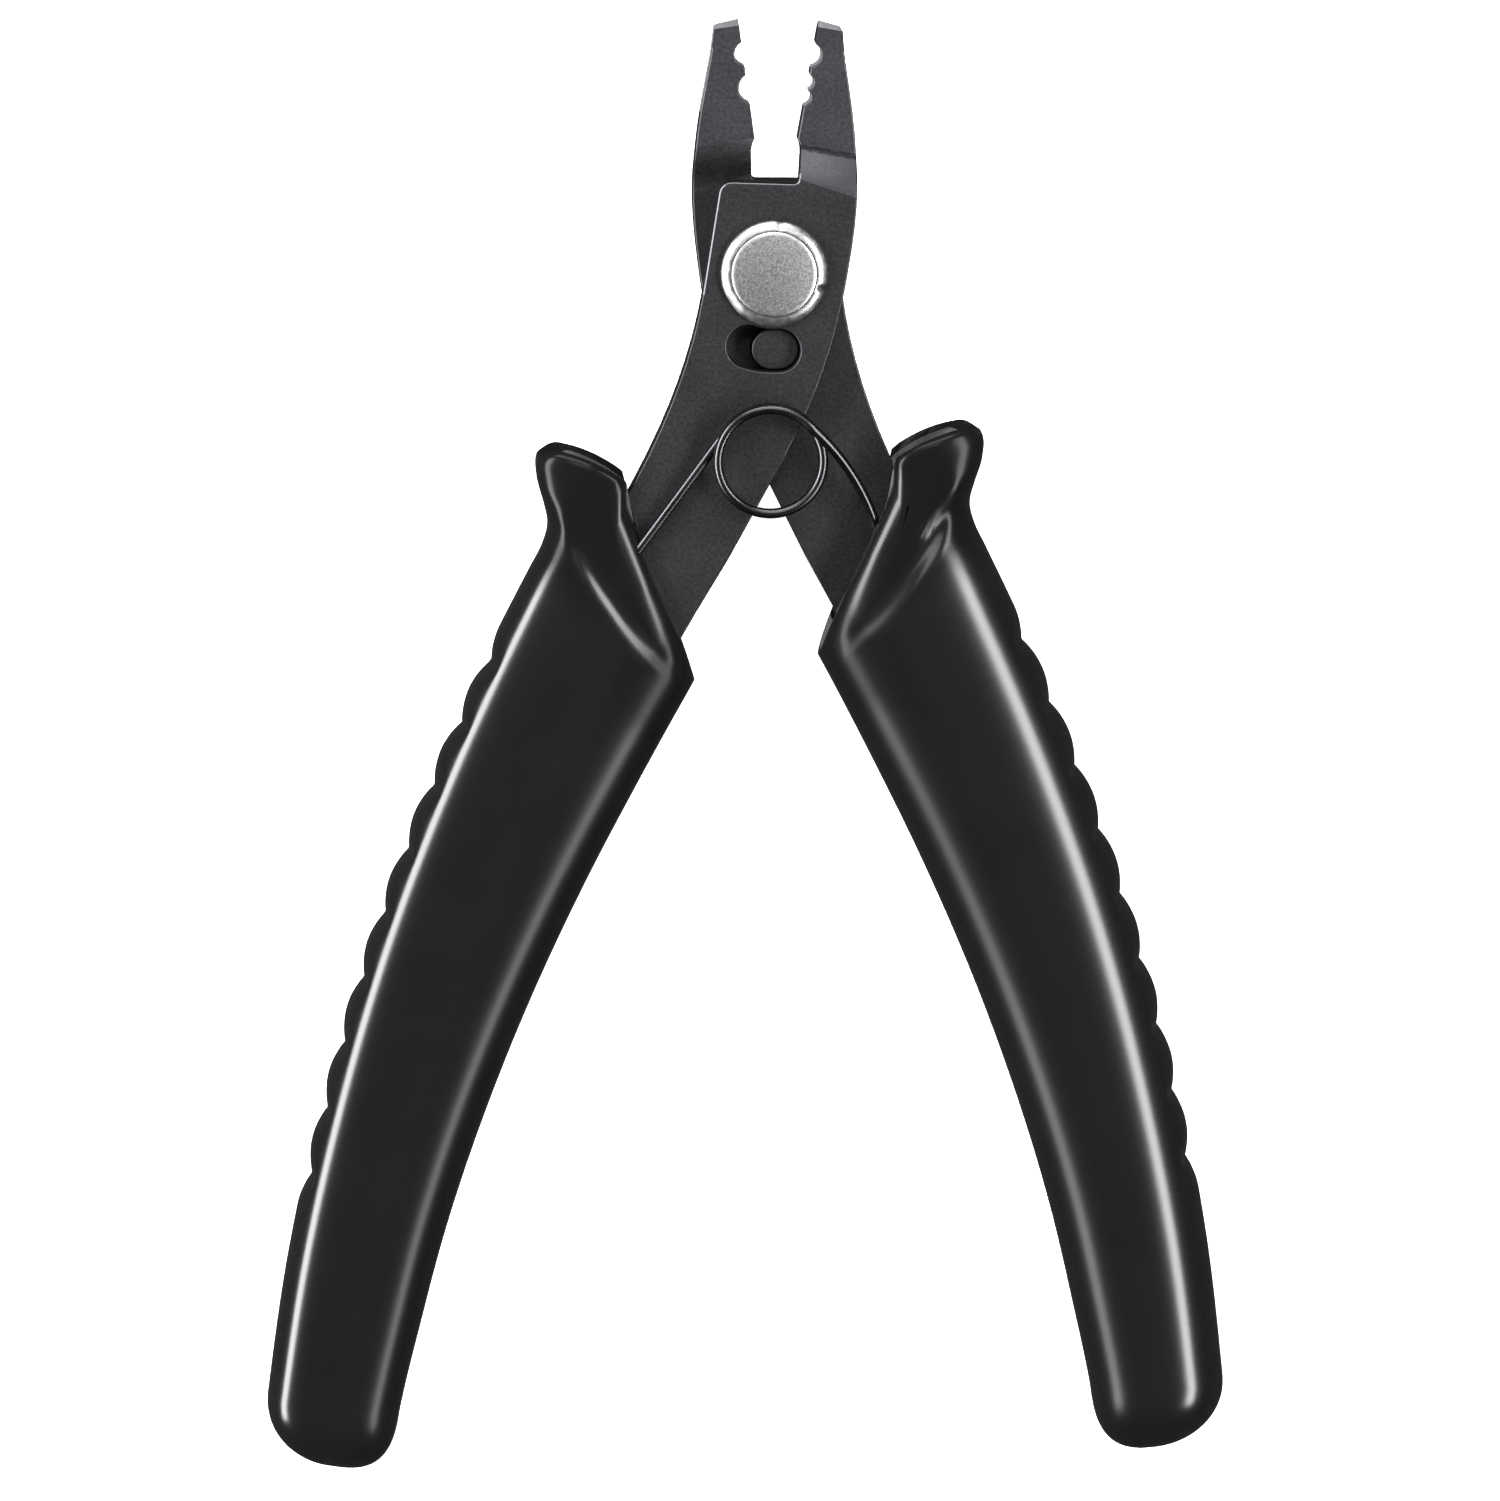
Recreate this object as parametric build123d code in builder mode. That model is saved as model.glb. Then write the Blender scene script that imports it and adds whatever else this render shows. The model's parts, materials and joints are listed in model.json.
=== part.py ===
from build123d import *
from math import atan, cos, degrees, pi, radians, sin
import os

# Crimping pliers with flat jaws, stamped from plate: two crossed levers on a large pivot pin, a wire return
# spring on the front face and a moulded grip on each handle.
#
# Both levers come from one blank and both grips from one mould. Each is drawn once, in the frame of a closed
# lever: +Y runs from the pivot to the jaw tip and x = 0 is the line where the two jaws meet. The rear lever
# and its grip use the same frame turned half a turn about Y. Lengths are in millimetres, angles in degrees.

os.makedirs("parts", exist_ok=True)

# Levers
OPEN_ANGLE = 18.0  # the turn between the open stop and closed jaws
PLATE = 3.0  # thickness of the stamped plate
LEVER_GAP = 0.06  # between the two sliding faces
JAW_GAP = 0.06  # left between the jaws when they are closed
JAW_REACH = 22.65  # pivot to jaw tip
JAW_HEEL = 12.0  # pivot to the lower end of the meeting face
JAW_TIP_WIDTH = 2.45
TIP_DROP = 0.25  # the tip's fall to its outer corner
TIP_ROUND = 0.5
TIP_BEVEL = 0.45  # the tip's two arrises, ground back along the jaw
TIP_BEVEL_HEIGHT = 1.0
HEAD_RIGHT = 6.5  # half widths of the head, either side of the pivot
HEAD_LEFT = 5.9
HEAD_TOP = 8.2  # pivot to the shoulder between the jaws
SHOULDER_DROP = 1.0  # the shoulder's fall from the jaw to its outer corner
SHOULDER_ROUND = 1.1
RAMP_START = 8.8  # the jaw steps to the middle plane between these two heights
RAMP_END = 11.4

# Crimping stations, as heights above the pivot
ROUND_STATION = 19.6
ROUND_RADIUS = 1.1
ROUND_DEPTH = 0.75
TOOTH_STATION = 16.45
TOOTH_CUP_RADIUS = 1.4
TOOTH_CUP_DEPTH = 0.8
LOBE_RADIUS = 0.75
LOBE_DEPTH = 0.5
LOBE_SPACING = 1.35

# Pivot
PIN_DIAMETER = 7.7
PIN_CLEARANCE = 0.03  # radial, in the rear lever; the front lever is pressed on
COLLAR_DIAMETER = 9.5
COLLAR_HEIGHT = 0.95
COLLAR_CHAMFER = 0.35
COLLAR_CLEARANCE = 0.04  # between the rear collar and the turning lever
PIN_PROUD = 0.1  # the pin's end over its collar

# Travel stop: a pad half sheared from the rear lever, in a slot of the front one
STOP_RADIUS = 6.95  # pivot to the slot's middle line
STOP_HEIGHT = 3.6  # the pad's size across that line
STOP_LENGTH = 4.2  # the pad's size along it
STOP_CLEARANCE = 0.12
STOP_RISE = 1.8
STOP_PLACE = 2.5  # the slot's middle, in degrees past straight below the pivot

# Handle line, an arc in the lever's frame
HANDLE_RADIUS = 202.0
HANDLE_START = (-8.25, -33.6)
HANDLE_LEAN = 20.2  # its direction there, from straight down
TANG_LENGTH = 52.0  # along the handle line
TANG_INNER = 5.6  # half widths at the handle line's start
TANG_OUTER = 5.0
TANG_TIP_HALF = 4.1
TANG_CORNER = 2.0

# Grips
GRIP_THICKNESS = 12.0
GRIP_ROUND = 4.4  # corner radius of the section
GRIP_STEP = 5.5  # between cross sections
TAIL_LENGTH = 5.0  # the rounded end
TAIL_STEPS = 4
LEFT_GRIP_SEAT = 3.3  # how far down its tang the left grip sits
RIGHT_GRIP_SEAT = 0.4
SOCKET_CLEARANCE = 0.03  # over and under the tang, which wedges in the socket across its width
MOUTH_OUTER = (5.7, 14.6)  # corners of the mouth: outward of the handle line, and up from its start
MOUTH_INNER = (-9.0, 1.8)
FLARE_TIP = (13.9, 14.0)
NOTCH_COUNT = 9
NOTCH_PITCH = 5.95
NOTCH_DEPTH = 0.8
NOTCH_RADIUS = 1.6
NOTCH_START = 5.0  # below the handle line's start
# Cross sections of the grip: distance below the handle line's start, inner and outer half width, and how
# much thinner it is than GRIP_THICKNESS. The belly is a little thicker, so that it is cut to flats to lie on.
GRIP_SECTIONS = (
    (-16.5, 8.8, 15.4, 0.4),
    (-11.0, 8.8, 12.0, 0.6),
    (-5.5, 8.8, 9.4, 1.0),
    (0.0, 8.7, 8.6, 0.8),
    (16.5, 7.8, 8.0, -0.4),
    (33.0, 7.2, 7.6, -0.4),
    (55.0, 6.5, 6.8, 0.4),
    (71.5, 6.1, 6.2, 1.4),
    (77.8, 6.0, 6.0, 1.6),
)

# Return spring
WIRE = 0.9
COIL_RADIUS = 4.7
COIL_CENTRE = -16.6  # on the tool's middle line
COIL_PITCH = 1.05
COIL_TURNS = 1.27
COIL_START = 145.0  # direction from the coil's centre to the left leg
LEG_LENGTH = 18.0
SPRING_LIFT = 0.08
RIGHT_LEG_END = (-6.25, -28.93)  # in the rear lever's frame
RIGHT_LEG_HEIGHT = 1.6  # over the middle plane
RIGHT_LEG_LEAN = 17.0
LEG_BEND_RADIUS = 3.0
CHANNEL_CLEARANCE = 0.3

MIDDLE = GRIP_THICKNESS / 2  # height of the plane between the levers, over the bench
HALF_OPEN = radians(OPEN_ANGLE / 2)
FRONT = Plane(origin=(0, 0, MIDDLE), x_dir=(cos(HALF_OPEN), -sin(HALF_OPEN), 0), z_dir=(0, 0, 1))
REAR = Plane(origin=(0, 0, MIDDLE), x_dir=(-cos(HALF_OPEN), -sin(HALF_OPEN), 0), z_dir=(0, 0, -1))
INNER_FACE = LEVER_GAP / 2
OUTER_FACE = INNER_FACE + PLATE
JAW_FACE = JAW_GAP / 2


def handle_point(below, outward):
    """A point of the lever's frame, from its distance below the handle line's start and outward of the line."""
    start = radians(HANDLE_LEAN)
    angle = start - below / HANDLE_RADIUS
    reach = HANDLE_RADIUS + outward
    x = HANDLE_START[0] + HANDLE_RADIUS * cos(start) - reach * cos(angle)
    y = HANDLE_START[1] - HANDLE_RADIUS * sin(start) + reach * sin(angle)
    return Vector(x, y)


def grip_seat(seat):
    """The plane of a grip that sits this much lower along the handle line."""
    start = radians(HANDLE_LEAN)
    centre = (
        HANDLE_START[0] + HANDLE_RADIUS * cos(start),
        HANDLE_START[1] - HANDLE_RADIUS * sin(start),
    )
    turn = Location(centre) * Location((0, 0, 0), (0, 0, degrees(seat / HANDLE_RADIUS)))
    return Plane(turn * Location((-centre[0], -centre[1], 0)))


def mouth_point(outward, up):
    """A point near the mouth, measured square to the handle line at its start."""
    lean = radians(HANDLE_LEAN)
    x = HANDLE_START[0] - outward * cos(lean) + up * sin(lean)
    y = HANDLE_START[1] + outward * sin(lean) + up * cos(lean)
    return Vector(x, y)


def placed(frame, local):
    """A plane given in the coordinates of another one."""
    return Plane(frame.location * local.location)


def near(vertex, point):
    """True for a sketch vertex that stands at this point."""
    return (Vector(vertex) - Vector(point)).length < 0.01


def lever_outline():
    """The flat outline of both levers, in the lever's frame."""
    lean = radians(HANDLE_LEAN)
    down = (-sin(lean), -cos(lean))
    up = (sin(lean), cos(lean))
    shoulder = Vector(-HEAD_LEFT - 0.2, HEAD_TOP - SHOULDER_DROP)
    root = Vector(0.75, HEAD_TOP)
    tip = Vector(JAW_TIP_WIDTH - 0.2, JAW_REACH - TIP_DROP)
    tang_ends = [handle_point(TANG_LENGTH, side * TANG_TIP_HALF) for side in (-1, 1)]
    middle_half = (TANG_INNER + TANG_OUTER) / 4 + TANG_TIP_HALF / 2
    with BuildSketch() as outline:
        with BuildLine():
            face = Line((JAW_FACE, JAW_HEEL), (JAW_FACE, JAW_REACH))
            top = Line(face @ 1, tip)
            nose = Line(top @ 1, tip + Vector(0.3, -1.2))
            jaw_back = Spline(
                nose @ 1,
                (3.95, 16.8),
                (5.08, 13.0),
                (5.92, 9.2),
                (HEAD_RIGHT, 0),
                tangents=[(0.25, -1), (0, -1)],
            )
            throat = Spline(
                jaw_back @ 1,
                (5.1, -11.8),
                (1.05, -24.1),
                handle_point(0, -TANG_INNER),
                tangents=[(0, -1), down],
            )
            tang_inner = ThreePointArc(
                throat @ 1, handle_point(TANG_LENGTH / 2, -middle_half), tang_ends[0]
            )
            tang_end = Line(tang_inner @ 1, tang_ends[1])
            tang_outer = ThreePointArc(
                tang_end @ 1,
                handle_point(TANG_LENGTH / 2, middle_half),
                handle_point(0, TANG_OUTER),
            )
            neck = Spline(
                tang_outer @ 1, (-7.45, -15.4), (-HEAD_LEFT, -3.0), tangents=[up, (0, 1)]
            )
            head_side = Line(neck @ 1, shoulder)
            head_top = Line(head_side @ 1, root)
            relief = Line(head_top @ 1, (0.45, JAW_HEEL - 0.6))
            Line(relief @ 1, face @ 0)
        make_face()
        fillet(vertices().filter_by(lambda v: near(v, shoulder)), radius=SHOULDER_ROUND)
        fillet(vertices().filter_by(lambda v: near(v, root)), radius=0.5)
        fillet(vertices().filter_by(lambda v: near(v, tip)), radius=TIP_ROUND)
        fillet(
            vertices().filter_by(lambda v: any(near(v, end) for end in tang_ends)),
            radius=TANG_CORNER,
        )
    return outline.sketch


def plate_layer():
    """The side view of a bent plate: x runs toward the jaw tip and y out of the plate's outer face."""
    low, high = -PLATE / 2, PLATE / 2
    with BuildSketch() as layer:
        with BuildLine():
            Polyline(
                (-150, INNER_FACE),
                (RAMP_START, INNER_FACE),
                (RAMP_END, low),
                (JAW_REACH - TIP_BEVEL, low),
                (JAW_REACH, low + TIP_BEVEL_HEIGHT),
                (JAW_REACH, high - TIP_BEVEL_HEIGHT),
                (JAW_REACH - TIP_BEVEL, high),
                (RAMP_END, high),
                (RAMP_START, OUTER_FACE),
                (-150, OUTER_FACE),
                close=True,
            )
        make_face()
    return layer.sketch


def travel_slot(length, height, middle):
    """A slot round the pivot, with its middle this many degrees past straight down."""
    half = degrees((length - height) / 2 / STOP_RADIUS)
    with BuildSketch() as slot:
        with BuildLine(mode=Mode.PRIVATE) as middle_line:
            CenterArc((0, 0), STOP_RADIUS, -90 + middle - half, 2 * half)
        SlotArc(middle_line.edge(), height)
    return slot.sketch


def jaw_stations(cups):
    """Round cuts in the jaw's face: each has its height above the pivot, radius and depth."""
    with BuildSketch() as cuts:
        for height, radius, depth in cups:
            with Locations((JAW_FACE + depth - radius, height)):
                Circle(radius)
    return cuts.sketch


STOP_TRAVEL = radians(OPEN_ANGLE) * STOP_RADIUS
ROUND_CUP = (ROUND_STATION, ROUND_RADIUS, ROUND_DEPTH)
LOBES = [(TOOTH_STATION + side * LOBE_SPACING / 2, LOBE_RADIUS, LOBE_DEPTH) for side in (-1, 1)]
TOOTH_CUP = (TOOTH_STATION, TOOTH_CUP_RADIUS, TOOTH_CUP_DEPTH)

with BuildPart() as front_lever:
    with BuildSketch(FRONT.offset(-PLATE)):
        add(lever_outline())
    extrude(amount=2 * PLATE + OUTER_FACE)
    with BuildSketch(Plane(origin=FRONT.origin, x_dir=FRONT.y_dir, z_dir=FRONT.x_dir)):
        add(plate_layer())
    extrude(amount=60, both=True, mode=Mode.INTERSECT)
    with BuildSketch(FRONT.offset(-PLATE)):
        add(jaw_stations([ROUND_CUP] + LOBES))
        Circle(PIN_DIAMETER / 2)
        add(travel_slot(
            STOP_LENGTH + STOP_TRAVEL + 2 * STOP_CLEARANCE, STOP_HEIGHT + 2 * STOP_CLEARANCE, STOP_PLACE
        ))
    extrude(amount=3 * PLATE, mode=Mode.SUBTRACT)

with BuildPart() as rear_lever:
    with BuildSketch(REAR.offset(-PLATE)):
        add(lever_outline())
    extrude(amount=2 * PLATE + OUTER_FACE)
    with BuildSketch(Plane(origin=REAR.origin, x_dir=REAR.y_dir, z_dir=REAR.x_dir)):
        add(plate_layer())
    extrude(amount=60, both=True, mode=Mode.INTERSECT)
    # The pad's place follows from the slot: closed, it stands at the slot's left end.
    closed_place = -STOP_PLACE + OPEN_ANGLE / 2
    with BuildSketch(REAR.offset(-STOP_RISE)):
        add(travel_slot(STOP_LENGTH, STOP_HEIGHT, closed_place))
    extrude(amount=STOP_RISE + PLATE / 2)
    with BuildSketch(REAR.offset(OUTER_FACE - STOP_RISE)):
        add(travel_slot(STOP_LENGTH - 2 * STOP_CLEARANCE, STOP_HEIGHT - 2 * STOP_CLEARANCE, closed_place))
    extrude(amount=PLATE, mode=Mode.SUBTRACT)
    with BuildSketch(REAR.offset(-PLATE)):
        add(jaw_stations([ROUND_CUP, TOOTH_CUP]))
        Circle(PIN_DIAMETER / 2 + PIN_CLEARANCE)
    extrude(amount=3 * PLATE, mode=Mode.SUBTRACT)

pin_front = MIDDLE + OUTER_FACE + COLLAR_HEIGHT + PIN_PROUD
pin_rear = MIDDLE - OUTER_FACE - COLLAR_CLEARANCE - COLLAR_HEIGHT - PIN_PROUD
with BuildPart() as pivot_pin:
    with BuildSketch(Plane.XY.offset(pin_rear)):
        Circle(PIN_DIAMETER / 2)
    extrude(amount=pin_front - pin_rear)
    chamfer(edges().filter_by(GeomType.CIRCLE), length=PIN_PROUD)

collars = {}
for name, face in (
    ("front_collar", Plane.XY.offset(MIDDLE + OUTER_FACE)),
    ("rear_collar", Plane(origin=(0, 0, MIDDLE - OUTER_FACE - COLLAR_CLEARANCE), z_dir=(0, 0, -1))),
):
    with BuildPart() as collar:
        with BuildSketch(face):
            Circle(COLLAR_DIAMETER / 2)
            Circle(PIN_DIAMETER / 2, mode=Mode.SUBTRACT)
        extrude(amount=COLLAR_HEIGHT)
        rim = edges().filter_by(GeomType.CIRCLE).sort_by(SortBy.RADIUS)[-2:]
        fillet(rim.sort_by(Axis(face.origin, face.z_dir))[-1:], radius=COLLAR_CHAMFER)
    collars[name] = collar


def leg_direction(angle, lean):
    """A unit vector at this angle from +X, tilted up by lean degrees."""
    flat = cos(radians(lean))
    return Vector(flat * cos(radians(angle)), flat * sin(radians(angle)), sin(radians(lean)))


def bend_point(start, along, toward, turn):
    """A point of the bend between the coil and the right leg, after it has turned this far."""
    return start + (along * sin(turn) + toward * (1 - cos(turn))) * LEG_BEND_RADIUS


coil_slope = degrees(atan(COIL_PITCH / (2 * pi * COIL_RADIUS)))
left_leg_direction = leg_direction(COIL_START - 90, coil_slope)
coil_low = MIDDLE + OUTER_FACE + SPRING_LIFT + WIRE / 2 + LEG_LENGTH * sin(radians(coil_slope))
coil_place = Location((0, COIL_CENTRE, coil_low), (0, 0, COIL_START))
coil = Helix(COIL_PITCH, COIL_PITCH * COIL_TURNS, COIL_RADIUS, lefthand=True).moved(coil_place)
left_leg_end = (coil @ 0) - left_leg_direction * LEG_LENGTH
right_leg_end = REAR.from_local_coords(Vector(*RIGHT_LEG_END, -RIGHT_LEG_HEIGHT))
down_turn = radians(coil_slope + RIGHT_LEG_LEAN)
leaving = coil % 1
sideways = Vector(-leaving.Y, leaving.X, 0).normalized()
downward = sideways.cross(leaving)
bend = ThreePointArc(
    coil @ 1,
    bend_point(coil @ 1, leaving, downward, down_turn / 2),
    bend_point(coil @ 1, leaving, downward, down_turn),
)
right_leg = TangentArc(bend @ 1, right_leg_end, tangent=bend % 1)

with BuildPart() as return_spring:
    with BuildLine():
        Line(left_leg_end, coil @ 0)
        add(coil)
        add(bend)
        add(right_leg)
    with BuildSketch(Plane(origin=left_leg_end, z_dir=left_leg_direction)):
        Circle(WIRE / 2)
    sweep()


def grip_size(below):
    """The grip's inner and outer half width and its thickness, between its named cross sections."""
    for above, under in zip(GRIP_SECTIONS, GRIP_SECTIONS[1:]):
        if above[0] <= below <= under[0]:
            share = (below - above[0]) / (under[0] - above[0])
            inner, outer, thinner = [a + share * (b - a) for a, b in zip(above[1:], under[1:])]
            return inner, outer, GRIP_THICKNESS - thinner
    raise ValueError("this lies past the end of the grip")


def grip_stations():
    """Each cross section of the grip: its distance below the line's start, half widths and thickness."""
    top, bottom = GRIP_SECTIONS[0][0], GRIP_SECTIONS[-1][0] - TAIL_LENGTH
    steps = round((bottom - top) / GRIP_STEP)
    for i in range(steps + 1):
        below = top + (bottom - top) * i / steps
        yield below, *grip_size(below)
    for i in range(1, TAIL_STEPS + 1):
        turn = radians(80) * i / TAIL_STEPS
        below = bottom + TAIL_LENGTH * sin(turn)
        narrower = TAIL_LENGTH * (1 - cos(turn))
        inner, outer, thickness = grip_size(below)
        yield below, inner - narrower, outer - narrower, thickness - 2 * narrower


def mouth_cut():
    """What is cut away above the grip's mouth and its flare."""
    outer, inner = mouth_point(*MOUTH_OUTER), mouth_point(*MOUTH_INNER)
    tip = mouth_point(*FLARE_TIP)
    past_inner = inner + (inner - outer)
    past_tip = tip + (tip - outer)
    high = Vector(0, 30)
    with BuildSketch() as cut:
        with BuildLine():
            Polyline(past_inner, outer, past_tip, past_tip + high, past_inner + high, close=True)
        make_face()
    return cut.sketch


grips = {}
for name, frame, seat in (("left_grip", FRONT, LEFT_GRIP_SEAT), ("right_grip", REAR, RIGHT_GRIP_SEAT)):
    mould = placed(frame, grip_seat(seat))
    with BuildPart() as grip:
        for below, inner, outer, thickness in grip_stations():
            lean = radians(HANDLE_LEAN) - below / HANDLE_RADIUS
            station = Plane(
                origin=handle_point(below, 0),
                x_dir=(-cos(lean), sin(lean), 0),
                z_dir=(-sin(lean), -cos(lean), 0),
            )
            with BuildSketch(placed(mould, station)):
                with Locations(((outer - inner) / 2, 0)):
                    corner = min(GRIP_ROUND, 0.48 * thickness, 0.48 * (inner + outer))
                    RectangleRounded(inner + outer, thickness, corner)
        loft(ruled=True)
        with BuildSketch(mould.offset(-GRIP_THICKNESS)):
            add(mouth_cut())
            for notch in range(NOTCH_COUNT):
                below = NOTCH_START + notch * NOTCH_PITCH
                with Locations(handle_point(below, grip_size(below)[1] + NOTCH_RADIUS - NOTCH_DEPTH)):
                    Circle(NOTCH_RADIUS)
        extrude(amount=2 * GRIP_THICKNESS, mode=Mode.SUBTRACT)
        with BuildSketch(Plane.XY):
            Rectangle(600, 600)
        extrude(amount=GRIP_THICKNESS, mode=Mode.INTERSECT)
        with BuildSketch(frame.offset(INNER_FACE - SOCKET_CLEARANCE)):
            add(lever_outline())
        extrude(amount=PLATE + 2 * SOCKET_CLEARANCE, mode=Mode.SUBTRACT)
        if name == "left_grip":
            with BuildSketch(Plane(origin=left_leg_end - left_leg_direction, z_dir=left_leg_direction)):
                Circle(WIRE / 2 + CHANNEL_CLEARANCE)
            extrude(amount=LEG_LENGTH, mode=Mode.SUBTRACT)
        else:
            with BuildLine():
                Line(right_leg_end + right_leg % 1, right_leg_end)
                add(right_leg)
            with BuildSketch(Plane(origin=right_leg_end + right_leg % 1, z_dir=-(right_leg % 1))):
                Circle(WIRE / 2 + CHANNEL_CLEARANCE)
            sweep(mode=Mode.SUBTRACT)
    grips[name] = grip

pieces = {
    "front_lever": front_lever,
    "rear_lever": rear_lever,
    "pivot_pin": pivot_pin,
    **collars,
    **grips,
    "return_spring": return_spring,
}
for name, piece in pieces.items():
    piece.part.label = name
    export_step(piece.part, f"parts/{name}.step")
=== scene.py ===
"""Crimping pliers lying open on a pale table: blackened plate levers, a bright swaged pivot, a bare wire
spring and gloss moulded grips. The lengths here are in millimetres unless a name says otherwise."""

import json
from math import atan, cos, pi, radians, sin, tan
from types import SimpleNamespace

import bmesh
import bpy
import numpy as np
from mathutils import Matrix, Vector


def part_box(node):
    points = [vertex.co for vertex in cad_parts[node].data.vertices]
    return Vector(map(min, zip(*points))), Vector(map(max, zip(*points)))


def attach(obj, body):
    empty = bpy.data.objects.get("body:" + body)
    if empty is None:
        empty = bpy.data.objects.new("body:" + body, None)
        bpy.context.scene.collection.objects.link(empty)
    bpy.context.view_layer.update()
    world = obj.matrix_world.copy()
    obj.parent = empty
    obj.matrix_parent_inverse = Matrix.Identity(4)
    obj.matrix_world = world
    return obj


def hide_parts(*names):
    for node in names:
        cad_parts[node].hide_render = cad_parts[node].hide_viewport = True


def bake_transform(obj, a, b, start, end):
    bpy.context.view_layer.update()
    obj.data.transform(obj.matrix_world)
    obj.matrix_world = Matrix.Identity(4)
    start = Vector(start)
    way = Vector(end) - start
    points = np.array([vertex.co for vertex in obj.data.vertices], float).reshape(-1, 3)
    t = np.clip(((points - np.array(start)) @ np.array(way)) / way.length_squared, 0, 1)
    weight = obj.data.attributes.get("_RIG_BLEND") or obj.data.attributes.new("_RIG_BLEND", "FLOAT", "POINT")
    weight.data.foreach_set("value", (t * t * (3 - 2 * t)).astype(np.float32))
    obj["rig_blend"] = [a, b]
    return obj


bl_info = {
    "name": "Crimping pliers",
    "version": (1, 0, 0),
    "blender": (4, 5, 0),
    "location": "3D View > Sidebar > Pliers",
    "description": "Builds the visible pieces of a pair of crimping pliers round its packed model",
    "category": "Object",
}

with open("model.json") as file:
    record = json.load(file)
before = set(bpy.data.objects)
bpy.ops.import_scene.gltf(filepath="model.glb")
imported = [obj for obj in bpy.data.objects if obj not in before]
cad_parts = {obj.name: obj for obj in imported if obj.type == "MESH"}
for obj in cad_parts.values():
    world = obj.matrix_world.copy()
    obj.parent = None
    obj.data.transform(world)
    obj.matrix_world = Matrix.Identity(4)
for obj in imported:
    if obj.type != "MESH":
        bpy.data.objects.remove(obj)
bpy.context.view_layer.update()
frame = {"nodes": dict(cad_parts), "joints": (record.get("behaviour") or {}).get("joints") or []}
MM = 0.001
JOINT = frame["joints"][0]
MIDDLE = JOINT["pos_m"][2] / MM  # height of the plane between the two levers
HALF_OPEN = radians(JOINT["range_deg"][1]) / 2

# The levers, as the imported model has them, in the frame of a closed lever
OUTER_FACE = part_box("front_lever")[1].z / MM - MIDDLE
RAMP_END = 11.4  # the bend's upper line, above the pivot
JAW_REACH = 22.65
BARE_FROM = 14.0  # the jaws' walls are ground bare from here to the tip
HIGHLIT_ARRIS_FROM, HIGHLIT_ARRIS_TO = -1.5, 9.0  # the front lever's arris takes a painted highlight in the bare material between these heights
END_BEVELS = 2.2  # this length of the jaw's end has bevels of its own
HANDLE_RADIUS = 202.0
HANDLE_START = (-8.25, -33.6)
HANDLE_LEAN = radians(20.2)
LEFT_GRIP_SEAT = 3.3
RIGHT_GRIP_SEAT = 0.4

# The grip's edges: distance below the handle line's start, and distance from that line
OUTER_EDGE = (
    (-16.0, 13.9), (-12.4, 13.9), (-10.6, 12.8), (-9.2, 11.2), (-7.9, 9.9), (-6.0, 9.25), (-3.8, 9.1),
    (0.4, 8.9), (15.0, 8.35), (31.0, 7.75), (47.0, 7.05), (60.0, 6.55), (72.0, 6.0), (78.0, 5.9),
)
INNER_EDGE = (
    (-16.0, 8.7), (0.0, 8.75), (9.3, 8.65), (18.7, 8.32), (36.9, 7.5), (54.5, 6.69), (63.0, 6.4),
    (71.5, 5.95), (78.0, 5.8),
)
HALF_HEIGHT = (
    (-16.0, 5.0), (-11.0, 5.1), (-5.5, 5.35), (0.0, 5.65), (9.0, 5.9), (20.0, 6.0), (38.0, 6.0),
    (55.0, 5.8), (72.0, 5.35), (78.0, 5.2),
)
STRAIGHT_FROM = 9.0  # the rows slant with the mouth above this and lie square below it
TAIL_FROM = 71.6
TAIL_LENGTH = 6.05
TAIL_DRIFT = 1.2  # the tail's tip lies this much toward the inside
TAIL_SQUARENESS = 2.3
SLANT = 0.87  # from a distance down the handle to one square to the crease
# The mouth, and the crease where the collar rises to the body: distance from the handle line, and distance
# below its start
MOUTH_LINE = (
    (-9.5, -1.6), (-8.7, -2.5), (-5.7, -5.2), (1.0, -10.0), (4.9, -13.0), (5.9, -14.5), (6.8, -14.75),
    (12.0, -14.0), (13.2, -13.4), (13.9, -12.3), (15.0, -11.5),
)
CREASE_LINE = (
    (-9.0, -1.9), (-4.2, -2.7), (-2.0, -3.2), (1.0, -4.4), (4.3, -6.0), (7.4, -7.8), (9.5, -9.4),
    (12.1, -12.1), (14.0, -14.2),
)


def profile(points, x):
    """A smooth curve through the points, at x, which may be an array; straight past the ends."""
    px = np.array([p[0] for p in points], float)
    py = np.array([p[1] for p in points], float)
    step = np.diff(px)
    slope = np.diff(py) / step
    tangent = np.concatenate(([slope[0]], (slope[1:] + slope[:-1]) / 2, [slope[-1]]))
    flat = np.concatenate(([False], slope[1:] * slope[:-1] <= 0, [False]))
    tangent[flat] = 0
    x = np.clip(np.asarray(x, float), px[0], px[-1])
    i = np.clip(np.searchsorted(px, x) - 1, 0, len(step) - 1)
    t = (x - px[i]) / step[i]
    a = (2 * t**3 - 3 * t**2 + 1) * py[i] + (t**3 - 2 * t**2 + t) * step[i] * tangent[i]
    b = (-2 * t**3 + 3 * t**2) * py[i + 1] + (t**3 - t**2) * step[i] * tangent[i + 1]
    return a + b


def smooth_step(low, high, x):
    t = np.clip((np.asarray(x, float) - low) / (high - low), 0, 1)
    return t * t * (3 - 2 * t)


def power(value, exponent):
    """A signed power, for the superellipse."""
    return np.sign(value) * np.abs(value) ** exponent


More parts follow.
